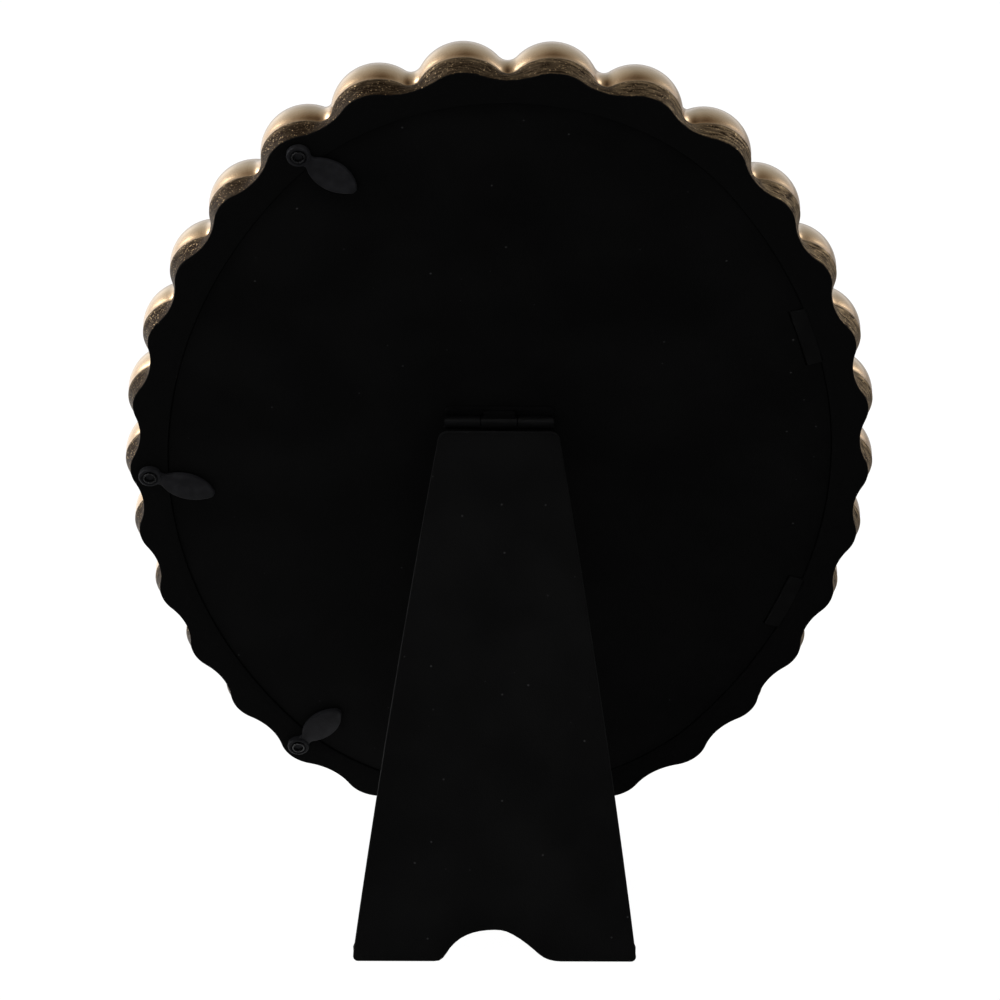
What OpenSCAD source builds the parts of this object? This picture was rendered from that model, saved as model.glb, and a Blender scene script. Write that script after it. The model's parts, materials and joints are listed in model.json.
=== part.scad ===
// Beaded oval photo frame, standing on its easel leg. All sizes in millimetres.
// Flat working axes: X across, Y up the frame, Z from the back plane toward the front.
// stand() turns the flat axes upright, leans them back and sets the frame on the table.

/* [Print] */
// Width of the oval print
print_width = 127; // [100:1:150]
// Height of the oval print
print_height = 177.8; // [160:0.1:220]
// Thickness of the print
print_thick = 0.3; // [0.2:0.05:0.6]
// Slack between the print edge and the bead line
print_slack = 1.7; // [1:0.1:3]

/* [Beaded rim] */
// Number of beads around the rim
bead_count = 30; // [26:2:34]
// Bead radius as a share of the bead spacing
bead_share = 0.548; // [0.53:0.001:0.56]
// Depth of the bead centres in front of the back plane
bead_depth = 5.6; // [5:0.1:6]
// Radius of the hollow that runs between two beads
saddle_hollow = 2.4; // [1.6:0.1:3.6]
// Depth of the plain side wall behind the beads
wall_depth = 3.7; // [3.2:0.1:4.2]
// Radius of a wall lobe at the back plane
lobe_radius = 7.85; // [7.2:0.05:8.2]
// Radius of a wall lobe where it meets the bead
lobe_flare = 8.5; // [8.25:0.05:8.55]
// Radius of the hollow between two wall lobes
wall_hollow = 14; // [8:0.5:20]
// Distance from the bead line in to the sight opening
sight_inset = 9.3; // [9.1:0.1:10]
// Thickness of the inner lip that holds the glass
lip_thick = 1.8; // [1.4:0.1:2.4]
// Gap between the recess wall and the sheets in it
recess_gap = 0.4; // [0.3:0.05:0.8]

/* [Sheets in the recess] */
// Thickness of the glass
glass_thick = 2; // [1.6:0.1:2.6]
// Thickness of the backing card
card_thick = 1.2; // [0.8:0.1:2]
// Thickness of the back board core
board_thick = 2.4; // [2:0.1:3]
// Thickness of the flocked paper on the board and the leg
flock_thick = 0.4; // [0.3:0.05:0.5]
// How far the board sits below the back plane
board_sink = 0.3; // [0.2:0.05:0.5]

/* [Keeper tongues] */
// Height of each tongue along the rim
tongue_long = 14; // [8:1:20]
// Reach of each tongue over the board
tongue_reach = 2.6; // [2:0.1:3.4]
// Thickness of each tongue
tongue_thick = 1; // [0.8:0.1:1.2]
// Angle of the tongues above and below the middle
tongue_angle = 18; // [10:1:24]

/* [Turn buttons] */
// Length from the pivot to the tip
button_long = 13.3; // [11:0.1:15]
// Width of the leaf blade
button_wide = 6.2; // [5:0.1:7]
// Thickness of the blade
button_thick = 0.8; // [0.6:0.05:1.1]
// Radius of the eye
eye_radius = 2.25; // [2.1:0.05:2.6]
// Radius of the rivet head in the eye
button_head = 1.3; // [1.1:0.05:1.4]
// Radius of the rivet shank
button_shank = 0.75; // [0.6:0.05:0.8]
// Distance of the pivots outside the bead line
button_offset = 4; // [3.6:0.1:4.4]

/* [Easel leg] */
// Angle that the frame leans back
lean = 18; // [14:0.5:22]
// Angle between the open leg and the frame
opening = 30.6; // [28:0.1:36]
// Height of the hinge pin above the middle of the oval
hinge_height = 14; // [8:0.1:18]
// Sideways shift of the leg and its hinge
leg_shift = 0.4; // [-2:0.1:2]
// Width of the leg at its top
leg_top_wide = 23.4; // [22:0.1:28]
// Width of the leg at its foot
leg_foot_wide = 57; // [44:0.2:62]
// Radius of the top corners of the leg core
corner_top = 1.5; // [0.8:0.1:2.5]
// Radius of the foot corners of the leg
corner_foot = 1.1; // [0.6:0.1:2]
// Thickness of the leg core
leg_thick = 2.2; // [1.8:0.1:3]
// Half width of the arch cut in the foot
arch_half = 11.2; // [8:0.1:13]
// Height of the arch cut in the foot
arch_high = 6.8; // [4:0.1:8]

/* [Hinge] */
// Radius of the hinge pin
pin_radius = 0.75; // [0.6:0.05:0.8]
// Outer radius of the knuckles
knuckle_radius = 1.35; // [1.25:0.05:1.4]
// Thickness of the two leaves
leaf_thick = 0.7; // [0.6:0.05:0.75]
// Full width of the board leaf
leaf_wide = 21.2; // [20.6:0.1:21.6]
// Length of the leaves below the pin
leaf_long = 11; // [10:0.1:13]
// Radius of the flat rivet heads
rivet_head = 1.3; // [1.1:0.05:1.4]
// Radius of the rivet shanks
rivet_shank = 0.7; // [0.5:0.05:0.75]

/* [Hidden] */
$fn = 96;
tiny = 0.01;
fit = 0.04;
// Small step that keeps an arc from just touching the edge that it runs into
tangent_step = 0.02;
// Oval of four arcs through the bead centres
line_a = print_width / 2 + print_slack;
line_b = print_height / 2 + print_slack;
end_r = line_a - 0.518 * (line_b - line_a);
side_r = (line_a * line_a + line_b * line_b - 2 * line_b * end_r) / (2 * (line_a - end_r));
end_c = line_b - end_r;
side_c = side_r - line_a;
split = atan2(side_c, end_c);
end_run = end_r * split * PI / 180;
quarter = end_run + side_r * (90 - split) * PI / 180;
pitch = 4 * quarter / bead_count;
bead_r = bead_share * pitch;
// Stack in the recess, counted from the back plane
cover_front = board_sink + flock_thick;
core_front = cover_front + board_thick;
card_front = core_front + card_thick;
print_front = card_front + print_thick;
recess_depth = print_front + glass_thick;
lip_front = recess_depth + lip_thick;
// Hinge pin and the folded leg behind the board
pin_lift = knuckle_radius + 0.1;
pin_z = board_sink - pin_lift;
leg_face = pin_z - 0.25;
leg_top = knuckle_radius + flock_thick + 0.2;
knuckle_half = 3.5;
rivet_low = 7;
// Table height and the middle of the footprint
tilt = opening - lean;
low_bead = min([for (k = [0 : bead_count - 1]) bead_at(k)[1]]);
low_ball = low_bead * cos(lean) + bead_depth * sin(lean) - bead_r;
low_edge = (low_bead - lobe_radius) * cos(lean);
table_drop = -min(low_ball, low_edge);
front_reach = low_bead * sin(lean) - bead_depth * cos(lean) - bead_r;
pin_y = hinge_height * sin(lean) - pin_z * cos(lean);
pin_up = hinge_height * cos(lean) + pin_z * sin(lean) + table_drop;
leg_out = pin_z - leg_face + leg_thick + flock_thick;
leg_long = (pin_up + leg_out * sin(tilt)) / cos(tilt);
leg_slope = (leg_foot_wide - leg_top_wide) / 2 / (leg_long - leg_top + flock_thick);
back_reach = pin_y + leg_out * cos(tilt) + leg_long * sin(tilt);
shift_y = -(front_reach + back_reach) / 2;

// Point on a quarter of the bead line, a run s from the top
function on_quarter(s) = s < end_run
  ? [end_r * sin(s * 180 / (PI * end_r)), end_c + end_r * cos(s * 180 / (PI * end_r))]
  : [side_r * sin(split + (s - end_run) * 180 / (PI * side_r)) - side_c,
     side_r * cos(split + (s - end_run) * 180 / (PI * side_r))];
// Centre of bead k, counted clockwise from the right of the top
function bead_at(k) = let (s = (k + 0.5) * pitch, q = floor(s / quarter))
  q == 0 ? on_quarter(s)
  : q == 1 ? [on_quarter(2 * quarter - s)[0], -on_quarter(2 * quarter - s)[1]]
  : q == 2 ? [-on_quarter(s - 2 * quarter)[0], -on_quarter(s - 2 * quarter)[1]]
  : [-on_quarter(4 * quarter - s)[0], on_quarter(4 * quarter - s)[1]];
// Height of the hollow's centre over the chord between two round lobes
function hollow_at(chord, r, f) = sqrt((r + f) * (r + f) - chord * chord / 4);

// Oval slab, grown by off from the bead line, between two depths
module oval_slab(off, z0, z1) {
  translate([0, 0, z0])
    linear_extrude(z1 - z0) {
      for (m = [-1, 1])
        translate([0, m * end_c]) circle(end_r + off);
      intersection() {
        square([2 * (line_a + off) + 2, 2 * end_c + 2 * (end_r + off) * cos(split)], center = true);
        translate([side_c, 0]) circle(side_r + off);
        translate([-side_c, 0]) circle(side_r + off);
      }
    }
}

// Turns the flat axes upright, leaning back on the table
module stand() {
  translate([0, shift_y, table_drop])
    rotate([90 - lean, 0, 0])
      children();
}

// Sets a child at the middle of the gap after bead k, with +Y outward
module at_gap(k) {
  a = bead_at(k);
  b = bead_at((k + 1) % bead_count);
  translate([(a[0] + b[0]) / 2, (a[1] + b[1]) / 2, 0])
    rotate([0, 0, atan2(b[1] - a[1], b[0] - a[0])])
      children();
}

// One bead: a ball over a flared wall lobe
module bead() {
  difference() {
    translate([0, 0, bead_depth]) sphere(bead_r);
    translate([0, 0, wall_depth - 20]) cylinder(h = 20, r = 2 * bead_r);
  }
  cylinder(h = wall_depth + tiny, r1 = lobe_radius, r2 = lobe_flare);
}

// Round waist that joins two neighbouring balls
module waist(chord) {
  ball = bead_r - 0.03;
  rise = hollow_at(chord, ball, saddle_hollow);
  half = chord / 2 * saddle_hollow / (ball + saddle_hollow);
  top = rise * ball / (ball + saddle_hollow);
  difference() {
    translate([0, 0, bead_depth])
      rotate([0, 90, 0])
        rotate_extrude()
          difference() {
            translate([0, -half]) square([top + 0.5, 2 * half]);
            translate([rise, 0]) circle(saddle_hollow);
          }
    translate([0, 0, wall_depth - 20]) cylinder(h = 20, r = 2 * bead_r);
  }
}

// Hollowed wall between two wall lobes
module wall_web(chord) {
  lobe = lobe_radius - 0.03;
  rise = hollow_at(chord, lobe, wall_hollow);
  half = chord / 2 * wall_hollow / (lobe + wall_hollow);
  top = rise * lobe / (lobe + wall_hollow);
  linear_extrude(wall_depth + tiny)
    difference() {
      translate([-half, -3]) square([2 * half, top + 3.5]);
      translate([0, rise]) circle(wall_hollow);
    }
}

// Pivot of a button: direction seen from its end-arc centre or the oval's middle
function pivot_top() = [(end_r + button_offset) * sin(43.6), end_c + (end_r + button_offset) * cos(43.6)];
function pivot_middle() = [line_a + button_offset, -1];
function pivot_bottom() = [(end_r + button_offset) * sin(47), -end_c - (end_r + button_offset) * cos(47)];
PIVOTS = [pivot_top(), pivot_middle(), pivot_bottom()];

module tongue(grow, z1) {
  for (m = [-1, 1])
    translate([side_c, 0, -tiny * grow])
      rotate([0, 0, 180 + m * tongue_angle])
        translate([side_r - tongue_reach - grow, -tongue_long / 2 - grow, 0])
          cube([tongue_reach + 2 + 2 * grow, tongue_long + 2 * grow, z1]);
}

module rim() {
  color([0.72, 0.62, 0.42])
    stand() {
      difference() {
        union() {
          oval_slab(4.4, 0, bead_depth + 2);
          oval_slab(-1, 0, lip_front);
          for (k = [0 : bead_count - 1])
            translate([bead_at(k)[0], bead_at(k)[1], 0]) bead();
          for (k = [0 : bead_count - 1])
            at_gap(k) {
              waist(norm(bead_at((k + 1) % bead_count) - bead_at(k)));
              wall_web(norm(bead_at((k + 1) % bead_count) - bead_at(k)));
            }
        }
        oval_slab(recess_gap, -1, recess_depth);
        oval_slab(-sight_inset, -1, bead_depth + 2 * bead_r);
        for (p = PIVOTS)
          translate([p[0], p[1], -1]) cylinder(h = 5, r = button_shank + fit);
      }
      tongue(0, tongue_thick);
    }
}

module glass() {
  color([0.8, 0.9, 0.9, 0.4])
    stand() oval_slab(0, print_front, recess_depth);
}

module print() {
  color([0.92, 0.91, 0.88])
    stand() oval_slab(-print_slack, card_front, print_front);
}

module backing_card() {
  color([0.8, 0.78, 0.72])
    stand() oval_slab(0, core_front, card_front);
}

// Bores for the two rivets that hold the board leaf
module board_bores() {
  for (m = [-1, 1])
    translate([leg_shift + m * 7.8, hinge_height - rivet_low, 0])
      children();
}

module board_core() {
  color([0.35, 0.28, 0.2])
    stand()
      difference() {
        oval_slab(0, cover_front, core_front);
        tongue(0.5, tongue_thick + 0.3);
        board_bores() {
          translate([0, 0, -1]) cylinder(h = 8, r = rivet_shank + fit);
          translate([0, 0, core_front - 0.5]) cylinder(h = 1, r = rivet_head + 0.3);
        }
      }
}

module board_cover() {
  color([0.04, 0.04, 0.045])
    stand()
      difference() {
        oval_slab(0, board_sink, cover_front);
        tongue(0.5, tongue_thick + 0.3);
        board_bores() translate([0, 0, -1]) cylinder(h = 8, r = rivet_shank + fit);
      }
}

// Puts the pin axis at the origin of the flat axes
module at_pin() {
  stand() translate([leg_shift, hinge_height, pin_z]) children();
}

// Flat plate with four rounded corners, from y0 up to y1, between two depths
module plate(half, y0, y1, z0, z1, r) {
  translate([0, 0, z0])
    linear_extrude(z1 - z0) {
      translate([-half, y0 + r]) square([2 * half, y1 - y0 - 2 * r]);
      translate([-half + r, y0]) square([2 * half - 2 * r, y1 - y0]);
      for (x = [-half + r, half - r], y = [y0 + r, y1 - r])
        translate([x, y]) circle(r);
    }
}

module hinge_board_leaf() {
  color([0.12, 0.12, 0.13])
    at_pin()
      difference() {
        union() {
          plate(leaf_wide / 2, -leaf_long, 3, pin_lift - leaf_thick, pin_lift, 1);
          translate([-3, 1.9, 0.4]) cube([6, 1.1, pin_lift - 0.4]);
          for (m = [-1, 1])
            translate([m * (leaf_wide / 2 + knuckle_half + 0.2) / 2, 0, 0])
              rotate([0, 90, 0])
                cylinder(h = leaf_wide / 2 - knuckle_half - 0.2, r = knuckle_radius, center = true);
        }
        rotate([0, 90, 0]) cylinder(h = leaf_wide + 2, r = pin_radius + 0.01, center = true);
        translate([-knuckle_half - 0.2, -1.75, -2]) cube([2 * knuckle_half + 0.4, 3.5, 4]);
        for (m = [-1, 1])
          translate([m * 7.8, -rivet_low, 0]) cylinder(h = 3, r = rivet_shank + fit);
        for (m = [-1, 1])
          translate([m * 3, -rivet_low - 0.5, 0]) cylinder(h = 3, r = rivet_head + 0.5);
      }
}

module hinge_leg_leaf() {
  color([0.12, 0.12, 0.13])
    at_pin()
      difference() {
        union() {
          rotate([0, 90, 0]) cylinder(h = 2 * knuckle_half, r = knuckle_radius, center = true);
          translate([-knuckle_half + 0.5, 0, -0.3]) cube([2 * knuckle_half - 1, 2.8, 0.6]);
          rotate([opening, 0, 0]) {
            plate(5.5, -leaf_long, -leg_top - 0.2, -0.25, leaf_thick - 0.25, 1);
            translate([-knuckle_half, -3, -0.25]) cube([2 * knuckle_half, 3, leaf_thick]);
          }
        }
        rotate([0, 90, 0]) cylinder(h = leaf_wide, r = pin_radius + 0.05, center = true);
        rotate([opening, 0, 0])
          for (m = [-1, 1])
            translate([m * 3, -rivet_low - 0.5, -2]) cylinder(h = 4, r = rivet_shank + fit);
      }
}

module hinge_pin() {
  color([0.3, 0.3, 0.32])
    at_pin()
      rotate([0, 90, 0]) cylinder(h = leaf_wide + 0.4, r = pin_radius, center = true);
}

module hinge_board_rivets() {
  color([0.15, 0.15, 0.16])
    stand()
      board_bores() {
        translate([0, 0, board_sink - leaf_thick - 0.4]) cylinder(h = 0.4, r = rivet_head);
        translate([0, 0, board_sink - leaf_thick - 0.1])
          cylinder(h = core_front - board_sink + leaf_thick + 0.1, r = rivet_shank);
        translate([0, 0, core_front - 0.4]) cylinder(h = 0.4, r = rivet_head);
      }
}

module hinge_leg_rivets() {
  color([0.15, 0.15, 0.16])
    at_pin()
      rotate([opening, 0, 0])
        for (m = [-1, 1])
          translate([m * 3, -rivet_low - 0.5, 0]) {
            translate([0, 0, leaf_thick - 0.25]) cylinder(h = 0.4, r = rivet_head);
            translate([0, 0, -0.25 - leg_thick + 0.5])
              cylinder(h = leaf_thick + leg_thick - 0.4, r = rivet_shank);
          }
}

// Waste outside a round corner: edges leave the corner at right angles to the angles from and to
module corner_waste(r, from, to) {
  mid = (from + to) / 2;
  difference() {
    polygon([[0, 0], [3 * r * cos(from), 3 * r * sin(from)], [5 * r * cos(mid), 5 * r * sin(mid)],
      [3 * r * cos(to), 3 * r * sin(to)]]);
    circle(r);
  }
}

// Tapered leg outline with round corners; it runs past the table and is cut flat there
module leg_outline(grow) {
  turn = atan(leg_slope);
  low = leg_long + 6;
  top = leg_top - grow;
  half = leg_top_wide / 2 - flock_thick + grow;
  low_half = half + leg_slope * (low - top);
  r = corner_top + grow;
  foot = leg_long - flock_thick + grow;
  difference() {
    polygon([[-half, -top], [half, -top], [low_half, -low], [-low_half, -low]]);
    for (m = [0, 1]) mirror([m, 0]) {
      translate([half + leg_slope * r - r / cos(turn) + tangent_step, -top - r + tangent_step])
        corner_waste(r, turn, 90);
      translate([half + leg_slope * (foot - corner_foot - top) - corner_foot / cos(turn) + tangent_step,
          corner_foot - foot - tangent_step])
        corner_waste(corner_foot, turn, -90);
    }
  }
}

// Foot arch, cut through the leg above the table
module arch(grow, from, to) {
  r = (arch_half * arch_half + arch_high * arch_high) / (2 * arch_high);
  translate([0, -leg_long + arch_high - r, from])
    cylinder(h = to - from, r = r + grow);
}

// Everything under a plane a little above the table
module below(h) {
  translate([-60, -100, h - 60]) cube([120, 260, 60]);
}

module leg_core() {
  color([0.35, 0.28, 0.2])
    difference() {
      at_pin()
        rotate([opening, 0, 0])
          difference() {
            translate([0, 0, -0.25 - leg_thick]) linear_extrude(leg_thick) leg_outline(0);
            arch(flock_thick, -6, 2);
            for (m = [-1, 1])
              translate([m * 3, -rivet_low - 0.5, -leg_thick + 0.2])
                cylinder(h = 4, r = rivet_shank + fit);
          }
      below(flock_thick);
    }
}

module leg_cover() {
  color([0.05, 0.05, 0.055])
    difference() {
      at_pin()
        rotate([opening, 0, 0])
          difference() {
            translate([0, 0, -0.25 - leg_thick - flock_thick])
              linear_extrude(leg_thick + flock_thick) leg_outline(flock_thick);
            arch(0, -6, 2);
            difference() {
              translate([0, 0, -0.25 - leg_thick]) linear_extrude(leg_thick + 1) leg_outline(0);
              arch(flock_thick, -8, 4);
              at_table() below(flock_thick);
            }
          }
      below(0);
    }
}

// Undoes at_pin() and the opening turn, so a world shape can be used in the leg's own axes
module at_table() {
  rotate([-opening, 0, 0])
    translate([-leg_shift, -hinge_height, -pin_z])
      rotate([lean - 90, 0, 0])
        translate([0, -shift_y, -table_drop])
          children();
}

// One of the two round plates whose overlap is the leaf, with a sloped upper edge
module blade_side(x, y, r, edge) {
  translate([x, y, 0]) {
    translate([0, 0, -button_thick + edge]) cylinder(h = button_thick - edge, r = r);
    translate([0, 0, -button_thick]) cylinder(h = edge, r1 = r - edge, r2 = r);
  }
}

// Leaf-shaped button with its eye at the origin and its blade along +X
module button() {
  from = 1.6;
  half = (button_long + 0.5 - from) / 2;
  r = (half * half + button_wide * button_wide / 4) / button_wide;
  edge = 0.35;
  difference() {
    union() {
      translate([0, 0, -button_thick]) cylinder(h = button_thick, r = eye_radius);
      translate([0, -1.3, -button_thick]) cube([from + 2, 2.6, button_thick]);
      intersection() {
        blade_side(from + half, r - button_wide / 2, r, edge);
        blade_side(from + half, button_wide / 2 - r, r, edge);
      }
      difference() {
        translate([0, 0, -button_thick - 0.4]) cylinder(h = 0.5, r = eye_radius);
        translate([0, 0, -button_thick - 1]) cylinder(h = 1, r = button_head + 0.3);
      }
    }
    translate([0, 0, -2]) cylinder(h = 3, r = button_shank + 0.06);
    translate([button_long, -5, -2]) cube([3, 10, 3]);
  }
}

module placed_button(k, angle) {
  color([0.1, 0.1, 0.11])
    stand()
      translate([PIVOTS[k][0], PIVOTS[k][1], -0.05])
        rotate([0, 0, angle])
          button();
}

module button_top() {
  placed_button(0, 218.3);
}

module button_middle() {
  placed_button(1, 201);
}

module button_bottom() {
  placed_button(2, 129.7);
}

module button_rivets() {
  color([0.25, 0.25, 0.27])
    stand()
      for (p = PIVOTS)
        translate([p[0], p[1], 0])
          difference() {
            union() {
              translate([0, 0, -button_thick - 0.55]) cylinder(h = 0.45, r = button_head);
              translate([0, 0, -button_thick - 0.2]) cylinder(h = button_thick + 3.8, r = button_shank);
            }
            translate([0, 0, -button_thick - 1]) cylinder(h = 1.6, r = 0.5);
          }
}

rim();
glass();
print();
backing_card();
board_core();
board_cover();
hinge_board_leaf();
hinge_leg_leaf();
hinge_pin();
hinge_board_rivets();
hinge_leg_rivets();
leg_core();
leg_cover();
button_top();
button_middle();
button_bottom();
button_rivets();
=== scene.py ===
"""Gilded, flocked and enamelled pieces of an oval easel photo frame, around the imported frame."""

import json
from math import atan2, cos, pi, radians, sin, sqrt, tan

import bmesh
import bpy
import numpy as np
from mathutils import Matrix, Vector


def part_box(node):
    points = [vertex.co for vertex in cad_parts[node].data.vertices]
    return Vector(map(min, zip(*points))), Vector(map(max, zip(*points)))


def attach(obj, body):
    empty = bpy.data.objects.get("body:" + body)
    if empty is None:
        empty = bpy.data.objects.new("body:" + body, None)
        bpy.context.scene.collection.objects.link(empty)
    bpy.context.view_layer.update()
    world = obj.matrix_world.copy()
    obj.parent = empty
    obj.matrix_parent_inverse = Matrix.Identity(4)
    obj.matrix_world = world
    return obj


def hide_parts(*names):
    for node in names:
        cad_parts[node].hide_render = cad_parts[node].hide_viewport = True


bl_info = {
    "name": "Beaded oval photo frame",
    "version": (1, 0, 0),
    "blender": (4, 5, 0),
    "location": "View3D > Sidebar > Photo frame",
    "description": "Finishes an oval photo frame with a beaded rim, turn buttons and an easel leg",
    "category": "Object",
}

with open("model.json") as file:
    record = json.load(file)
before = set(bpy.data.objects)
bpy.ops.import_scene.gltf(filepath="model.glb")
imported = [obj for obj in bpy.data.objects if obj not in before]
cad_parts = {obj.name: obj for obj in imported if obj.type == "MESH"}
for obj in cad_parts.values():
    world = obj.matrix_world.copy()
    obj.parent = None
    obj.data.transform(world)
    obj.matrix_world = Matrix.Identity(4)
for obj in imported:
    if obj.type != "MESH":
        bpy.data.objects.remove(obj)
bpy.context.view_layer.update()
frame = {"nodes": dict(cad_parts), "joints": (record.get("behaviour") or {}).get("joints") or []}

MM = 0.001
SMOOTH_ANGLE = radians(38)
# Points closer than this are one point
NEAR = 1e-7

# The leg hinge and the three button pivots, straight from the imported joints
JOINTS = {joint["name"]: joint for joint in frame["joints"]}
PIN = Vector(JOINTS["leg_hinge"]["pos_m"])
OPENING = -radians(JOINTS["leg_hinge"]["range_deg"][0])
BUTTON_AXIS = Vector(JOINTS["button_top_swivel"]["axis"])
LEAN = atan2(-BUTTON_AXIS.z, BUTTON_AXIS.y)

# Flat axes: X across, Y up the frame, Z from the back plane toward the glass
PRINT_LOW, PRINT_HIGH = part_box("print")
PRINT_DEPTH = 4.45 * MM
UPRIGHT = Matrix.Rotation(pi / 2 - LEAN, 4, "X")
PRINT_MIDDLE = Matrix.Translation((PRINT_LOW + PRINT_HIGH) / 2)
STAND = PRINT_MIDDLE @ UPRIGHT @ Matrix.Translation((0, 0, -PRINT_DEPTH))
LEG = Matrix.Translation(PIN) @ UPRIGHT @ Matrix.Rotation(OPENING, 4, "X")

# Four-arc oval through the bead centres
HALF_WIDE = 65.2 * MM
HALF_HIGH = 90.6 * MM
END_R = HALF_WIDE - 0.518 * (HALF_HIGH - HALF_WIDE)
SIDE_R = (HALF_WIDE**2 + HALF_HIGH**2 - 2 * HALF_HIGH * END_R) / (2 * (HALF_WIDE - END_R))
END_C = HALF_HIGH - END_R
SIDE_C = SIDE_R - HALF_WIDE
SPLIT = atan2(SIDE_C, END_C)
QUARTER = END_R * SPLIT + SIDE_R * (pi / 2 - SPLIT)
BEADS = 30
PITCH = 4 * QUARTER / BEADS
# The rim's mesh: stations in one bead, and the run of the surface map once round the section
BEAD_STATIONS = 34
SECTION_RUN = 70 * MM
# The keeper tongues sit this far up and down the side arc, in degrees
TONGUE_ANGLE = 18


def linear(code):
    """Linear RGBA of an sRGB hex colour."""
    parts = [int(code[k : k + 2], 16) / 255 for k in (1, 3, 5)]
    return tuple(c / 12.92 if c <= 0.04045 else ((c + 0.055) / 1.055) ** 2.4 for c in parts) + (1.0,)


def colour(name, code, words):
    """A colour setting that starts from an sRGB hex value."""
    return bpy.props.FloatVectorProperty(
        name=name, description=words, subtype="COLOR", size=4, min=0, max=1, default=linear(code)
    )


def length(name, size, words, low=0.0, high=0.2):
    """A length setting in metres."""
    return bpy.props.FloatProperty(
        name=name, description=words, default=size * MM, min=low, max=high, unit="LENGTH", precision=5
    )


class RimSizes(bpy.types.PropertyGroup):
    bead_radius: length("Bead radius", 8.99, "Radius of one bead")
    bead_depth: length("Bead depth", 5.6, "Depth of the bead centres in front of the back")
    saddle_hollow: length("Saddle hollow", 2.4, "Radius of the hollow between two beads")
    wall_depth: length("Wall depth", 3.7, "Depth of the side wall behind the beads")
    lobe_back: length("Lobe at the back", 7.85, "Radius of a wall lobe at the back")
    lobe_front: length("Lobe at the bead", 8.72, "Radius of a wall lobe under the bead")
    valley: length("Valley reach", 6.22, "Reach of the wall between two lobes")
    ridge: length("Crease ridge", 0.2, "Radius of the fine ridge where the wall meets the bead")
    back_round: length("Back edge round", 0.22, "Rounding of the painted back edge")
    lip_front: length("Lip front", 8.4, "Depth of the front of the inner lip")
    recess_depth: length("Recess depth", 6.6, "Depth of the recess for the sheets")
    recess_gap: length("Recess gap", 0.4, "Gap round the sheets")
    sight_inset: length("Sight inset", 9.3, "Distance from the bead line in to the sight opening")
    tongue_long: length("Tongue length", 14, "Length of a keeper tongue along the rim")
    tongue_reach: length("Tongue reach", 2.6, "Reach of a keeper tongue over the board")
    tongue_thick: length("Tongue thickness", 1, "Thickness of a keeper tongue")


class BackSizes(bpy.types.PropertyGroup):
    board_sink: length("Board sink", 0.3, "How far the board lies below the back")
    flock_thick: length("Flock thickness", 0.4, "Thickness of the flocked paper")
    leg_top_wide: length("Leg top width", 23.4, "Width of the leg at its top")
    leg_foot_wide: length("Leg foot width", 57, "Width of the leg at its foot")
    leg_long: length("Leg length", 109.228, "Length from the pin to the sole")
    leg_top: length("Leg top", 1.55, "Gap between the pin and the top of the leg")
    leg_face: length("Leg face", 0.25, "Depth of the leg's front face behind the pin")
    leg_thick: length("Leg thickness", 2.6, "Thickness of the leg with its paper")
    leg_bow: length("Leg bow", 0.55, "How far the long sides of the leg bow out")
    corner_top: length("Top corner", 1.9, "Radius of the top corners")
    corner_foot: length("Foot corner", 1.0, "Radius of the foot corners")


class ButtonSizes(bpy.types.PropertyGroup):
    button_long: length("Button length", 13.3, "Length from the pivot to the tip")
    button_wide: length("Button width", 6.2, "Width of the leaf blade")
    button_thick: length("Button thickness", 0.8, "Thickness of the blade")
    eye_radius: length("Eye radius", 2.25, "Radius of the eye")
    ring_high: length("Ring height", 0.4, "Height of the raised ring on the eye")
    head_radius: length("Rivet head", 1.3, "Radius of the rivet's rolled head")
    hollow_radius: length("Rivet hollow", 0.5, "Radius of the hole in the rivet")


class FrameColours(bpy.types.PropertyGroup):
    gold: colour("Gold", "#d4bc9c", "Champagne gold of the beads")
    # Painted shade: brown painted at the foot of the beads, where they reflect the dark room
    painted_shade_gold: colour("Old gold", "#7e5220", "Brown wash at the foot of the beads")
    wall_ground: colour("Wall ground", "#1e140b", "Brown ground of the side wall")
    wall_gold: colour("Wall gold", "#c9ad86", "Flecks of gold left on the side wall")
    back_paint: colour("Back paint", "#0c0c0c", "Black paint on the back of the rim")
    flock: colour("Flock", "#080808", "Black flocked paper of the board")
    # Painted light: the leg's black is paler than the board's because the leg faces more light from above
    leg_flock: colour("Leg flock", "#0d0d0d", "Black flocked paper of the leg")
    enamel: colour("Enamel", "#212123", "Satin black enamel of the turn buttons")
    backdrop: colour("Backdrop", "#ffffff", "White paper sweep under the frame")


class FrameSettings(bpy.types.PropertyGroup):
    rim: bpy.props.PointerProperty(type=RimSizes)
    back: bpy.props.PointerProperty(type=BackSizes)
    button: bpy.props.PointerProperty(type=ButtonSizes)
    colours: bpy.props.PointerProperty(type=FrameColours)


def add_node(tree, kind, inputs=None, **settings):
    """Adds one shader node with its settings, and sets or links its inputs."""
    made = tree.nodes.new("ShaderNode" + kind)
    for name, value in settings.items():
        setattr(made, name, value)
    for name, value in (inputs or {}).items():
        if isinstance(value, bpy.types.NodeSocket):
            tree.links.new(value, made.inputs[name])
        else:
            made.inputs[name].default_value = value
    return made


def ramp(tree, fac, *stops):
    """A colour ramp through (place, colour) stops."""
    made = add_node(tree, "ValToRGB", {"Fac": fac})
    points = made.color_ramp.elements
    while len(points) < len(stops):
        points.new(0.5)
    for point, (place, tint) in zip(points, stops):
        point.position = place
        point.color = tint if hasattr(tint, "__len__") else (tint, tint, tint, 1)
    return made.outputs["Color"]


def calc(tree, kind, first, second, **settings):
    """Two numbers through one Math node."""
    return add_node(tree, "Math", {0: first, 1: second}, operation=kind, **settings).outputs[0]


def span(tree, value, start, end, low=0.0, high=1.0):
    """A value taken from start..end to low..high and held there outside."""
    ends = {"From Min": start, "From Max": end, "To Min": low, "To Max": high}
    return add_node(tree, "MapRange", {"Value": value, **ends}).outputs[0]


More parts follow.
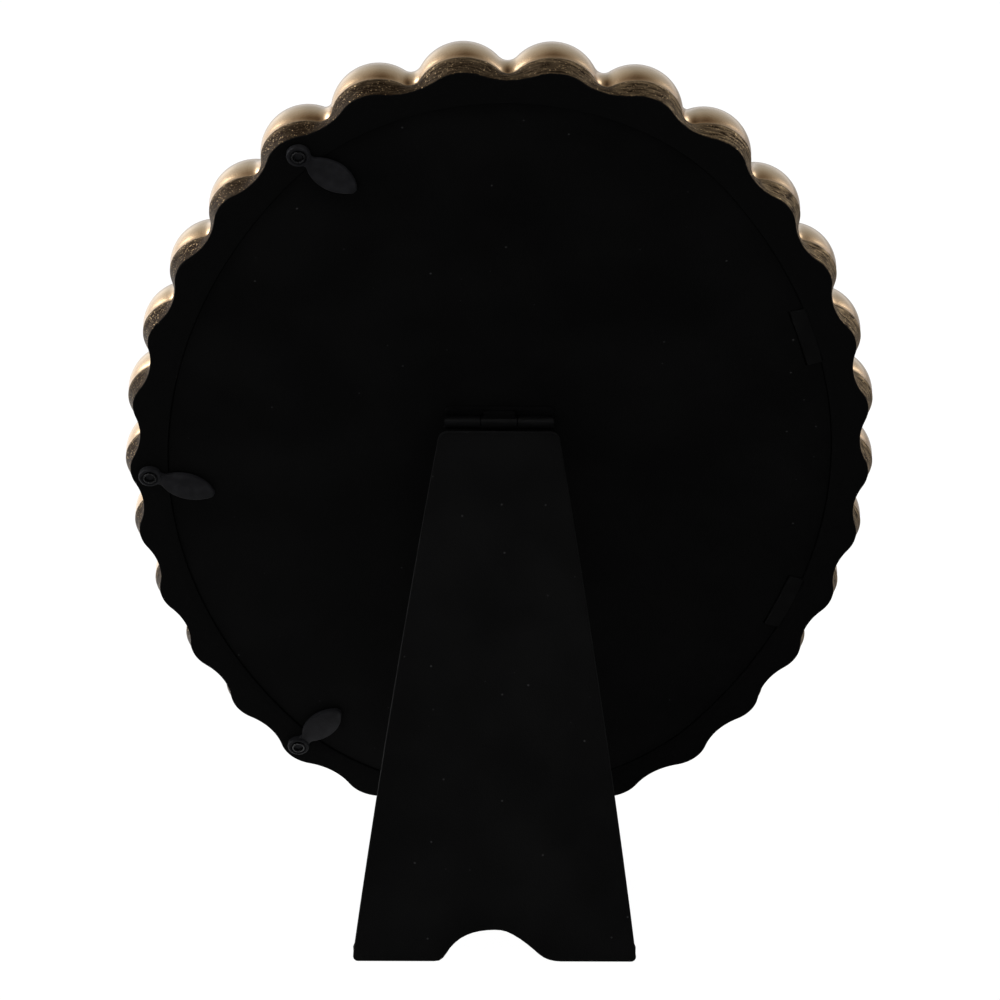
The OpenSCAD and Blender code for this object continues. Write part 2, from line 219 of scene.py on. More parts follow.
def blend(tree, share, first, second, kind="MIX"):
    """Two colours mixed by a share."""
    parts = {0: share, 6: first, 7: second}
    return add_node(tree, "Mix", parts, data_type="RGBA", blend_type=kind).outputs[2]


def between(tree, share, first, second):
    """Two numbers mixed by a share."""
    return add_node(tree, "Mix", {0: share, 2: first, 3: second}).outputs[0]


def relief(tree, height, depth, strength, **under):
    """A bumped normal, depth in metres."""
    return add_node(
        tree, "Bump", {"Height": height, "Distance": depth, "Strength": strength, **under}
    ).outputs[0]


def dress(tree, shader, **sockets):
    """Links outputs to the shader's sockets, with _ for a space in a socket's name."""
    for name, output in sockets.items():
        tree.links.new(output, shader.inputs[name.replace("_", " ")])


def new_material(name, **numbers):
    """A node material with one Principled shader whose plain numbers are set on its sockets."""
    made = bpy.data.materials.new(name)
    made.use_nodes = True
    tree = made.node_tree
    tree.nodes.clear()
    plain = {key.replace("_", " "): value for key, value in numbers.items()}
    shader = add_node(tree, "BsdfPrincipled", plain)
    add_node(tree, "OutputMaterial", {"Surface": shader.outputs["BSDF"]})
    return made, tree, shader


def grain(tree, vector, size, **settings):
    """Noise whose blobs are about size metres across."""
    made = add_node(tree, "TexNoise", {"Vector": vector, "Scale": 1 / size, **settings})
    return made.outputs["Fac"]


def gilded_rim(colours):
    """Cast rim in satin champagne gilding, brushed on the side wall, with black paint on the back."""
    made, tree, shader = new_material("satin_champagne_gilding", Specular_IOR_Level=0.02)
    place = add_node(tree, "TexCoord").outputs["Object"]
    along = add_node(tree, "UVMap", uv_map="Surface").outputs["UV"]
    # Depth in front of the back plane, from the frame's own leaning axes
    back = STAND.to_3x3() @ Vector((0, 0, 1))
    depth = add_node(tree, "VectorMath", {0: place, 1: back}, operation="DOT_PRODUCT").outputs["Value"]
    depth = calc(tree, "SUBTRACT", depth, back.dot(STAND.translation))
    # Torn marks of the leaf, 0.5 mm wide and about 2 mm long, run round the wall
    marks_at = {"Vector": along, "Scale": (1 / 0.0022, 1 / 0.0005, 1)}
    marks_at = add_node(tree, "Mapping", marks_at).outputs[0]
    streaks = add_node(tree, "TexNoise", {"Vector": marks_at, "Scale": 1.0, "Detail": 6.0}).outputs["Fac"]
    pits = grain(tree, place, 0.0005, Detail=4.0, Roughness=0.7)
    cloud = grain(tree, place, 0.006, Detail=3.0)
    # Painted shade: the domes darken to brown toward their foot, where they reflect the dark room
    wall = span(tree, depth, 3.76 * MM, 3.70 * MM)
    low = calc(tree, "MULTIPLY", span(tree, depth, 7.2 * MM, 4.6 * MM), 0.45)
    gold = blend(tree, low, colours.gold, colours.painted_shade_gold)
    # The wall's gilding is thin over a brown ground. More of it shows on the right than on the left, and
    # more close under the crease than at the back edge
    across = add_node(tree, "SeparateXYZ", {"Vector": place}).outputs["X"]
    gold_share = span(tree, across, 0.03, -0.06, 0.03, 0.34)
    gold_share = calc(tree, "ADD", gold_share, span(tree, depth, 2.6 * MM, 3.7 * MM, 0.0, 0.3))
    leaf = calc(tree, "MULTIPLY", ramp(tree, streaks, (0.36, 0.0), (0.66, 1.0)), gold_share)
    glint = grain(tree, place, 0.0003, Detail=3.0, Roughness=0.8)
    glint = ramp(tree, glint, (0.615, 0.0), (0.675, 1.0))
    fleck = calc(tree, "ADD", leaf, glint, use_clamp=True)
    gold = blend(tree, wall, gold, blend(tree, fleck, colours.wall_ground, colours.wall_gold))
    # Sprayed black laps round the back edge with a ragged border about 0.3 mm deep
    edge = span(tree, cloud, 0.0, 1.0, 0.0, 0.55 * MM)
    edge = calc(tree, "ADD", edge, span(tree, pits, 0.0, 1.0, -0.25 * MM, 0.25 * MM))
    paint = span(tree, calc(tree, "SUBTRACT", depth, edge), 0.05 * MM, -0.03 * MM)
    # The recess for the sheets is sprayed too: the first and the last stretch of the section
    run = add_node(tree, "SeparateXYZ", {"Vector": along}).outputs["Y"]
    inside = span(tree, run, 4.0 * MM, 3.7 * MM)
    inside = calc(tree, "MAXIMUM", inside, span(tree, run, 66.0 * MM, 67.0 * MM))
    paint = calc(tree, "MAXIMUM", paint, inside)
    bare = between(tree, wall, 1.0, span(tree, fleck, 0.0, 1.0, 0.015, 1.0))
    rough = span(tree, wall, 0.0, 1.0, 0.18, 0.45)
    # Soft ripple of the casting, brush marks and fine pits, all well under 0.1 mm deep
    brush = calc(tree, "MULTIPLY", between(tree, 0.5, streaks, pits), wall)
    normal = relief(tree, cloud, 0.00012, 0.35)
    normal = relief(tree, brush, 0.00012, 0.9, Normal=normal)
    normal = relief(tree, ramp(tree, pits, (0.40, 0.0), (0.62, 1.0)), 0.00002, 0.3, Normal=normal)
    dress(
        tree, shader, Base_Color=blend(tree, paint, gold, colours.back_paint), Normal=normal,
        Metallic=between(tree, paint, bare, 0.0), Roughness=between(tree, paint, rough, 0.85),
    )
    return made


def flocked_paper(colours, name="black_flocked_paper", base=None, clean=0.80):
    """Black flocked paper: short upright fibres that swallow light, with a little pale lint."""
    made, tree, shader = new_material(name, Roughness=0.95, Specular_IOR_Level=0.06)
    shader.inputs["Sheen Weight"].default_value = 0.012
    shader.inputs["Sheen Roughness"].default_value = 0.45
    place = add_node(tree, "TexCoord").outputs["Object"]
    # Fibres are 0.1 mm apart in truth; 0.35 mm lets them show
    nap = grain(tree, place, 0.00035, Detail=3.0, Roughness=0.6)
    patch = grain(tree, place, 0.018, Detail=2.0)
    tone = ramp(tree, patch, (0.35, 0.75), (0.65, 1.25))
    tint = blend(tree, 1.0, base or colours.flock, tone, "MULTIPLY")
    # Lint specks 0.2 mm across, one in every few square centimetres
    cells = add_node(tree, "TexVoronoi", {"Vector": place, "Scale": 1 / 0.0028, "Randomness": 1.0})
    speck = ramp(tree, cells.outputs["Distance"], (0.050, 1.0), (0.085, 0.0))
    chosen = add_node(tree, "SeparateColor", {"Color": cells.outputs["Color"]}).outputs["Red"]
    chosen = ramp(tree, chosen, (clean, 0.0), (clean + 0.15, 1.0))
    tint = blend(tree, calc(tree, "MULTIPLY", speck, chosen), tint, linear("#3a3a3a"))
    dress(tree, shader, Base_Color=tint, Normal=relief(tree, nap, 0.0001, 0.6))
    return made


def leg_flocked_paper(colours):
    """The leg's flocked paper, painted a little paler than the board's as painted light where the leg faces
    the light from above, and with more lint specks.
    """
    return flocked_paper(colours, "painted_light_flocked_paper", colours.leg_flock, 0.55)


def satin_enamel(colours):
    """Stamped steel in satin black stoving enamel, a little rubbed along its edges."""
    made, tree, shader = new_material("satin_black_enamel", Roughness=0.42, Specular_IOR_Level=0.04)
    place = add_node(tree, "TexCoord").outputs["Object"]
    orange = grain(tree, place, 0.0008, Detail=3.0)
    wear = ramp(tree, grain(tree, place, 0.0022, Detail=4.0), (0.40, 0.8), (0.75, 1.35))
    tint = blend(tree, 1.0, colours.enamel, wear, "MULTIPLY")
    dress(tree, shader, Base_Color=tint, Normal=relief(tree, orange, 0.00004, 0.35))
    return made


def back_paint(colours):
    """Thin black spray paint on the keeper tongues, as on the back of the rim."""
    made, tree, shader = new_material("black_spray_paint", Roughness=0.85, Specular_IOR_Level=0.08)
    place = add_node(tree, "TexCoord").outputs["Object"]
    tone = ramp(tree, grain(tree, place, 0.004, Detail=3.0), (0.35, 0.8), (0.65, 1.2))
    tint = blend(tree, 1.0, colours.back_paint, tone, "MULTIPLY")
    normal = relief(tree, grain(tree, place, 0.0005, Detail=3.0), 0.00003, 0.4)
    dress(tree, shader, Base_Color=tint, Normal=normal)
    return made


def blackened_steel(colours):
    """Blackened steel of the hinge, pins and rivets: dark, with faint rolling marks."""
    made, tree, shader = new_material("blackened_steel", Metallic=0.0, Specular_IOR_Level=0.12)
    place = add_node(tree, "TexCoord").outputs["Object"]
    marks_at = {"Vector": place, "Scale": (1 / 0.004, 1 / 0.0003, 1 / 0.0003)}
    marks_at = add_node(tree, "Mapping", marks_at).outputs[0]
    marks = add_node(tree, "TexNoise", {"Vector": marks_at, "Scale": 1.0, "Detail": 4.0}).outputs["Fac"]
    tint = ramp(tree, marks, (0.35, linear("#060606")), (0.7, linear("#0c0c0d")))
    rough = span(tree, marks, 0.0, 1.0, 0.35, 0.55)
    dress(tree, shader, Base_Color=tint, Roughness=rough, Normal=relief(tree, marks, 0.00003, 0.4))
    return made


def polished_rivet(colours):
    """Blackened steel of the tubular rivets, polished on the lip by the setting tool."""
    made, tree, shader = new_material("blackened_rivet_steel", Specular_IOR_Level=0.35)
    place = add_node(tree, "TexCoord").outputs["Object"]
    rub = grain(tree, place, 0.0005, Detail=3.0)
    tint = ramp(tree, rub, (0.35, linear("#0a0a0b")), (0.7, linear("#151516")))
    rough = span(tree, rub, 0.0, 1.0, 0.15, 0.35)
    dress(tree, shader, Base_Color=tint, Roughness=rough, Normal=relief(tree, rub, 0.00003, 0.4))
    return made


def float_glass(colours):
    """Clear float glass with the faint green of its iron."""
    made, tree, shader = new_material("clear_float_glass", Transmission_Weight=1.0, Roughness=0.0, IOR=1.5)
    place = add_node(tree, "TexCoord").outputs["Object"]
    # Drawing ripple about 40 mm long and far under a thousandth of that in height
    draw = grain(tree, place, 0.04, Detail=1.0)
    tint = ramp(tree, draw, (0.3, linear("#f4faf8")), (0.7, linear("#f7fcfa")))
    dress(tree, shader, Base_Color=tint, Normal=relief(tree, draw, 0.00002, 0.2))
    return made


def photo_paper(colours):
    """Plain warm white photo paper with a pearl surface and no picture."""
    made, tree, shader = new_material("pearl_photo_paper", Roughness=0.38, Specular_IOR_Level=0.4)
    place = add_node(tree, "TexCoord").outputs["Object"]
    pearl = grain(tree, place, 0.0006, Detail=2.0)
    tint = ramp(tree, pearl, (0.3, linear("#e4e0d6")), (0.7, linear("#ebe8df")))
    dress(tree, shader, Base_Color=tint, Normal=relief(tree, pearl, 0.00003, 0.5))
    return made


def packing_card(colours):
    """Grey-brown packing card, pressed from recycled fibre."""
    made, tree, shader = new_material("grey_packing_card", Roughness=0.9, Specular_IOR_Level=0.2)
    place = add_node(tree, "TexCoord").outputs["Object"]
    fibre = grain(tree, place, 0.0012, Detail=5.0, Roughness=0.7)
    tint = ramp(tree, fibre, (0.3, linear("#8f8675")), (0.5, linear("#a59c8a")), (0.72, linear("#bdb5a3")))
    dress(tree, shader, Base_Color=tint, Normal=relief(tree, fibre, 0.00008, 0.5))
    return made


def stained_hardboard(colours):
    """Pressed hardboard stained black-brown: matted fibres with a burnished face."""
    made, tree, shader = new_material("black_stained_hardboard", Roughness=0.7, Specular_IOR_Level=0.12)
    place = add_node(tree, "TexCoord").outputs["Object"]
    fibre = grain(tree, place, 0.0016, Detail=6.0, Roughness=0.72, Distortion=0.6)
    tint = ramp(tree, fibre, (0.3, linear("#0f0d0b")), (0.55, linear("#191512")), (0.78, linear("#2a221b")))
    dress(tree, shader, Base_Color=tint, Normal=relief(tree, fibre, 0.00008, 0.5))
    return made


FINISHES = {}


def finish(name):
    """The named finish, made once."""
    makers = (
        gilded_rim, flocked_paper, leg_flocked_paper, satin_enamel, back_paint, blackened_steel,
        polished_rivet, float_glass, photo_paper, packing_card, stained_hardboard,
    )
    if name not in FINISHES:
        maker = next(m for m in makers if m.__name__ == name)
        FINISHES[name] = maker(bpy.context.scene.photo_frame.colours)
    return FINISHES[name]


def link_piece(name, bm, material, body, replaced=(), place=None):
    """Turns a bmesh into a smooth piece with sharp creases, in the row frame, riding on a body."""
    if place is not None:
        bmesh.ops.transform(bm, matrix=place, verts=bm.verts)
    mesh = bpy.data.meshes.new(name)
    bm.to_mesh(mesh)
    bm.free()
    mesh.polygons.foreach_set("use_smooth", [True] * len(mesh.polygons))
    mesh.set_sharp_from_angle(angle=SMOOTH_ANGLE)
    mesh.materials.append(material)
    piece = bpy.data.objects.new(name, mesh)
    bpy.context.scene.collection.objects.link(piece)
    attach(piece, body)
    if replaced:
        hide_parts(*replaced)
    return piece


def bead_line(run):
    """Points and outward directions on the four-arc oval, a run clockwise from the top."""
    run = np.asarray(run, float) % (4 * QUARTER)
    turn = np.floor(run / QUARTER).astype(int) % 4
    part = run - turn * QUARTER
    part = np.where(turn % 2 == 1, QUARTER - part, part)
    on_end = part < END_R * SPLIT
    angle = np.where(on_end, part / END_R, SPLIT + (part - END_R * SPLIT) / SIDE_R)
    x = np.where(on_end, END_R * np.sin(angle), SIDE_R * np.sin(angle) - SIDE_C)
    y = np.where(on_end, END_C + END_R * np.cos(angle), SIDE_R * np.cos(angle))
    mirror_x = np.where(turn < 2, 1, -1)
    mirror_y = np.where((turn == 0) | (turn == 3), 1, -1)
    flat = np.zeros_like(x)
    return (
        np.stack([x * mirror_x, y * mirror_y, flat], -1),
        np.stack([np.sin(angle) * mirror_x, np.cos(angle) * mirror_y, flat], -1),
    )


def reach(run, start, toward, ball, hollow):
    """Distance along rays at which they leave two neighbouring balls joined by a round hollow."""
    first = np.floor(run / PITCH - 0.5)
    ends = [bead_line((first + k + 0.5) * PITCH)[0] for k in (0, 1)]
    lift = start[..., 2:3]
    a, b = (np.concatenate([end[..., :2], np.broadcast_to(lift, end[..., :1].shape)], -1) for end in ends)
    chord = np.linalg.norm(b - a, axis=-1)
    axis = (b - a) / chord[..., None]
    middle = (a + b) / 2
    rise = np.sqrt((ball + hollow) ** 2 - chord**2 / 4)
    low = np.zeros(toward.shape[:-1])
    high = np.full(toward.shape[:-1], 1.8 * np.max(ball))
    # Each halving of the search doubles its accuracy; 26 take it to a nanometre
    for _ in range(26):
        half = (low + high) / 2
        point = start + toward * half[..., None]
        rel = point - middle
        slide = (rel * axis).sum(-1)
        off = np.linalg.norm(rel - slide[..., None] * axis, axis=-1)
        in_hollow = np.abs(slide) < chord / 2 * (1 - off / rise)
        gap = np.where(
            in_hollow,
            hollow - np.hypot(slide, rise - off),
            np.minimum(np.linalg.norm(point - a, axis=-1), np.linalg.norm(point - b, axis=-1)) - ball,
        )
        low = np.where(gap < 0, half, low)
        high = np.where(gap < 0, high, half)
    return (low + high) / 2


def rim_profile(sizes, run):
    """Outward offsets and depths of the rim's section at each station, as two arrays."""
    line, out = bead_line(run)
    forward = np.array([0.0, 0.0, 1.0])

    def wall(share):
        """Offset of the side wall at a share of its depth."""
        lobe = sizes.lobe_back + (sizes.lobe_front - sizes.lobe_back) * share
        first = np.floor(run / PITCH - 0.5)
        ends = [bead_line((first + k + 0.5) * PITCH)[0] for k in (0, 1)]
        half = np.linalg.norm(ends[1] - ends[0], axis=-1) / 2
        hollow = (half**2 + sizes.valley**2 - lobe**2) / (2 * (lobe - sizes.valley))
        return reach(run, line, out, lobe, hollow)

    dome_start = line + forward * sizes.bead_depth

    def dome(angle):
        """Offset and depth of the bead surface at angles from outward toward the front."""
        toward = out[:, None] * np.cos(angle)[..., None] + forward * np.sin(angle)[..., None]
        r = reach(run[:, None], dome_start[:, None], toward, sizes.bead_radius, sizes.saddle_hollow)
        return r * np.cos(angle), sizes.bead_depth + r * np.sin(angle)

    probe = np.radians(np.arange(-60, 186, 3.0))
    probe = np.broadcast_to(probe, (len(run), len(probe)))
    depths = dome(probe)[1]
    # Angles at which the bead meets the ridge of the wall and the inner lip
    foot_z = sizes.wall_depth + 0.02 * MM
    foot = np.array([np.interp(foot_z, z[:30], a[:30]) for z, a in zip(depths, probe)])
    lip = np.array([np.interp(-sizes.lip_front, -z[50:], a[50:]) for z, a in zip(depths, probe)])
    share = np.linspace(0, 1, 36)
    dome_o, dome_z = dome(foot[:, None] + (lip - foot)[:, None] * share)

    rows = []

    def put(offset, depth):
        rows.append((np.broadcast_to(offset, run.shape), np.broadcast_to(depth, run.shape)))

    edge, broken = sizes.recess_gap, 0.14 * MM
    put(edge, sizes.recess_depth)
    put(edge, sizes.recess_depth / 2)
    put(edge, broken)
    put(edge + 0.04 * MM, 0.04 * MM)
    put(edge + broken, 0.0)
    back = wall(0.0)
    for k in (0.3, 0.6, 0.88):
        put(edge + broken + (back - sizes.back_round - edge - broken) * k, 0.0)
    for k in range(5):
        turn = pi / 2 * k / 4
        put(back - sizes.back_round * (1 - sin(turn)), sizes.back_round * (1 - cos(turn)))
    ridge_z = sizes.wall_depth - sizes.ridge
    top = ridge_z - 1.4 * sizes.ridge
    # The ridge stands a hair in from the foot of the dome, so that no gap shows between them
    ridge_foot = dome_o[:, 0] - 0.06 * MM
    for k, blend in ((0.25, 0), (0.5, 0), (0.75, 0.2), (1.0, 0.75)):
        depth = sizes.back_round + (top - sizes.back_round) * k
        put(wall(depth / sizes.wall_depth) * (1 - blend) + (ridge_foot + sizes.ridge) * blend, depth)
    for k in range(7):
        turn = radians(-20 + 15 * k)
        put(ridge_foot + sizes.ridge * cos(turn), ridge_z + sizes.ridge * sin(turn))
    for k in range(dome_o.shape[1]):
        put(dome_o[:, k], dome_z[:, k])
    inner, lip_round, lip_break = -sizes.sight_inset, 0.3 * MM, 0.1 * MM
    for k in (0.4, 0.75):
        put(dome_o[:, -1] + (inner + lip_round - dome_o[:, -1]) * k, sizes.lip_front)
    for k in range(4):
        turn = pi / 2 * k / 3
        put(inner + lip_round * (1 - sin(turn)), sizes.lip_front - lip_round * (1 - cos(turn)))
    put(inner, sizes.recess_depth + lip_break)
    put(inner + lip_break, sizes.recess_depth)
    put(inner / 2, sizes.recess_depth)
    offsets, depths = (np.stack([row[k] for row in rows], 1) for k in (0, 1))
    return line[:, None] + out[:, None] * offsets[..., None] + forward * depths[..., None]


def wrap_grid(points, run_length, round_length):
    """A grid wrapped onto points of shape (stations, section, 3) and closed both ways."""
    stations, section = points.shape[:2]
    bm = bmesh.new()
    layer = bm.loops.layers.uv.new("Surface")
    bmesh.ops.create_grid(bm, x_segments=stations, y_segments=section, size=0.5, calc_uvs=True)
    for vert in bm.verts:
        i = round((vert.co.x + 0.5) * stations) % stations
        j = round((vert.co.y + 0.5) * section) % section
        vert.co = points[i, j]
    for face in bm.faces:
        for loop in face.loops:
            uv = loop[layer].uv
            loop[layer].uv = (uv[0] * run_length, uv[1] * round_length)
    bmesh.ops.remove_doubles(bm, verts=bm.verts, dist=NEAR)
    bmesh.ops.recalc_face_normals(bm, faces=bm.faces)
    return bm


def outline_plate(outline, low, high, edge_round, steps=3):
    """A flat plate on an outline of (x, y) points, between two depths, its back edge rounded."""
    bm = bmesh.new()
    ring = [bm.verts.new((x, y, high)) for x, y in outline]
    face = bm.faces.new(ring)
    raised = bmesh.ops.extrude_face_region(bm, geom=[face])["geom"]
    back = [item for item in raised if isinstance(item, bmesh.types.BMVert)]
    bmesh.ops.translate(bm, verts=back, vec=(0, 0, low - high))
    bmesh.ops.recalc_face_normals(bm, faces=bm.faces)
    rim = [e for e in bm.edges if all(abs(v.co.z - low) < NEAR for v in e.verts)]
    bmesh.ops.bevel(
        bm, geom=rim, offset=edge_round, offset_type="OFFSET", affect="EDGES",
        segments=steps, profile=0.5, material=-1, clamp_overlap=True,
    )
    return bm


def round_corner(before, corner, after, radius, steps=8):
    """Points of an arc that rounds one corner of an outline."""
    p, q, r = Vector(before), Vector(corner), Vector(after)
    u, v = (p - q).normalized(), (r - q).normalized()
    half = u.angle(v) / 2
    centre = q + (u + v).normalized() * radius / sin(half)
    start, end = q + u * radius / tan(half) - centre, q + v * radius / tan(half) - centre
    full = start.angle_signed(end)
    return [
        tuple(centre + Matrix.Rotation(-full * k / steps, 2) @ start) for k in range(steps + 1)
    ]


class FrameOperator:
    """What the operators of this add-on share."""

    bl_options = {"REGISTER", "UNDO"}


class PHOTOFRAME_OT_rim(FrameOperator, bpy.types.Operator):
    """Makes the beaded rim and its two keeper tongues"""

    bl_idname = "photoframe.rim"
    bl_label = "Beaded rim"

    def execute(self, context):
        sizes = context.scene.photo_frame.rim
        stations = BEADS * BEAD_STATIONS
        run = np.arange(stations) * 4 * QUARTER / stations
        points = rim_profile(sizes, run)
        bm = wrap_grid(points, 4 * QUARTER, SECTION_RUN)
        link_piece("beaded_rim", bm, finish("gilded_rim"), "frame", ("rim",), STAND)
        for name, angle in (("keeper_tongue_upper", -TONGUE_ANGLE), ("keeper_tongue_lower", TONGUE_ANGLE)):
            bm = bmesh.new()
            bmesh.ops.create_cube(bm, size=1)
            # Its root stands 0.9 mm inside the rim
            reach_in, thick = sizes.tongue_reach + 0.9 * MM, sizes.tongue_thick
            bmesh.ops.scale(bm, vec=(reach_in, sizes.tongue_long, thick), verts=bm.verts)
            bmesh.ops.translate(
                bm, vec=(SIDE_R - sizes.tongue_reach + reach_in / 2, 0, thick / 2), verts=bm.verts
            )
            bmesh.ops.bevel(
                bm, geom=list(bm.edges), offset=0.25 * MM, offset_type="OFFSET", affect="EDGES",
                segments=3, profile=0.5, material=-1, clamp_overlap=True,
            )
            turn = Matrix.Rotation(pi + radians(angle), 4, "Z")
            place = STAND @ Matrix.Translation((SIDE_C, 0, 0)) @ turn
            link_piece(name, bm, finish("back_paint"), "frame", (), place)
        return {"FINISHED"}


class PHOTOFRAME_OT_board(FrameOperator, bpy.types.Operator):
    """Covers the back board with flocked paper"""

    bl_idname = "photoframe.board"
    bl_label = "Flocked back board"

    def execute(self, context):
        sizes = context.scene.photo_frame.back
        rim = context.scene.photo_frame.rim
        # Two notches clear the keeper tongues on the side without buttons. The nap grows past
        # the board's edge, so that the gap round it nearly closes
        grow, fuzz = 0.14 * MM, 0.28 * MM
        notches = []
        for side in (1, -1):
            middle = 3 * QUARTER + side * radians(TONGUE_ANGLE) * SIDE_R
            notches.append((middle - rim.tongue_long / 2 - grow, middle + rim.tongue_long / 2 + grow))
        # Stops along the outline: the run, its order where two fall together, and in a notch or not
        stops = [(s, 1, False) for s in np.arange(0, 240) * 4 * QUARTER / 240]
        stops = [stop for stop in stops if not any(a < stop[0] < b for a, b in notches)]
        for a, b in notches:
            stops += [(a, 0, False), (b, 2, False)] + [(s, 1, True) for s in np.linspace(a, b, 8)]
        outline = []
        for s, _, inside in sorted(stops):
            line, out = bead_line(s)
            spot = line - out * (rim.tongue_reach + grow if inside else -fuzz)
            outline.append((spot[0], spot[1]))
        low = sizes.board_sink
        bm = outline_plate(outline, low, low + sizes.flock_thick, 0.16 * MM)
        link_piece("flocked_board", bm, finish("flocked_paper"), "frame", ("board_cover",), STAND)
        return {"FINISHED"}


# Foot cut-out seen from behind: distance left or right of the middle and height over the sole
FOOT_ARCH = (
    (12.2, 0.0), (11.1, 0.12), (10.3, 0.72), (9.6, 1.75), (8.9, 2.85), (7.9, 3.95), (6.8, 4.85),
    (5.6, 5.52), (4.3, 6.02), (3.0, 6.33), (1.5, 6.53), (0.0, 6.6), (-1.2, 6.52), (-2.4, 6.22),
    (-3.6, 5.62), (-5.0, 4.75), (-6.4, 3.7), (-7.7, 2.6), (-8.8, 1.6), (-9.8, 0.88), (-10.8, 0.38),
    (-12.0, 0.1), (-13.2, 0.0),
)


class PHOTOFRAME_OT_leg(FrameOperator, bpy.types.Operator):
    """Covers the easel leg with flocked paper"""

    bl_idname = "photoframe.leg"
    bl_label = "Flocked easel leg"

    def execute(self, context):
        sizes = context.scene.photo_frame.back
        top, foot = -sizes.leg_top, -sizes.leg_long
        half_top, half_foot = sizes.leg_top_wide / 2, sizes.leg_foot_wide / 2
        corners = [(-half_top, top), (half_top, top), (half_foot, foot), (-half_foot, foot)]
        radii = [sizes.corner_top, sizes.corner_top, sizes.corner_foot, sizes.corner_foot]
        bowed = [(k / 10, sizes.leg_bow * 4 * (k / 10) * (1 - k / 10)) for k in range(1, 10)]
        side = [
            (half_top + (half_foot - half_top) * t + bow, top + (foot - top) * t) for t, bow in bowed
        ]
        outline = []
        for k, radius in enumerate(radii):
            outline += round_corner(corners[k - 1], corners[k], corners[(k + 1) % 4], radius)
            if k == 1:
                outline += side
            if k == 2:
                outline += [(x * MM, foot + h * MM) for x, h in FOOT_ARCH]
        outline += [(-x, y) for x, y in reversed(side)]
        back = -sizes.leg_face - sizes.leg_thick
        front = -sizes.leg_face
        bm = outline_plate(outline, back, front, 0.32 * MM, 4)
        # The sole is cut flat on the table, so it slopes across the leaning leg
        slope = tan(OPENING - LEAN)
        sole_zone = 0.9 * MM
        for vert in bm.verts:
            if vert.co.y < foot + sole_zone:
                vert.co.y += (vert.co.z - back) * slope
        # The paper wraps the back and the edges and leaves the face toward the board open
        face = [f for f in bm.faces if all(abs(v.co.z - front) < NEAR for v in f.verts)]
        bmesh.ops.delete(bm, geom=face, context="FACES")
        bmesh.ops.solidify(bm, geom=list(bm.faces), thickness=sizes.flock_thick)
        bmesh.ops.remove_doubles(bm, verts=bm.verts, dist=NEAR)
        link_piece("flocked_leg", bm, finish("leg_flocked_paper"), "leg", ("leg_cover",), LEG)
        return {"FINISHED"}


def spun(section, steps, place):
    """A turned part from a section of (radius, height) points, spun round the Z axis."""
    bm = bmesh.new()
    verts = [bm.verts.new((r, 0, z)) for r, z in section]
    edges = [bm.edges.new(pair) for pair in zip(verts, verts[1:])]
    bmesh.ops.spin(
        bm, geom=verts + edges, cent=(0, 0, 0), axis=(0, 0, 1), angle=2 * pi, steps=steps, use_merge=True
    )
    bmesh.ops.remove_doubles(bm, verts=bm.verts, dist=NEAR)
    bmesh.ops.recalc_face_normals(bm, faces=bm.faces)
    bmesh.ops.transform(bm, matrix=place, verts=bm.verts)
    return bm


def merged(*meshes):
    """One bmesh that holds several."""
    whole = bmesh.new()
    for part in meshes:
        mesh = bpy.data.meshes.new("part")
        part.to_mesh(mesh)
        part.free()
        whole.from_mesh(mesh)
        bpy.data.meshes.remove(mesh)
    return whole


# Degrees from the frame's X axis to each blade at rest, as in the photograph
BUTTON_TURNS = {"button_top": 218.3, "button_middle": 201.0, "button_bottom": 129.7}


def button_place(name):
    """Where a button's own axes are: its blade along X, the back of the rim at zero height."""
    pivot = Vector(JOINTS[name + "_swivel"]["pos_m"])
    turn = Matrix.Rotation(radians(BUTTON_TURNS[name]), 4, "Z")
    return Matrix.Translation(pivot) @ UPRIGHT @ turn @ Matrix.Translation((0, 0, 0.4 * MM))


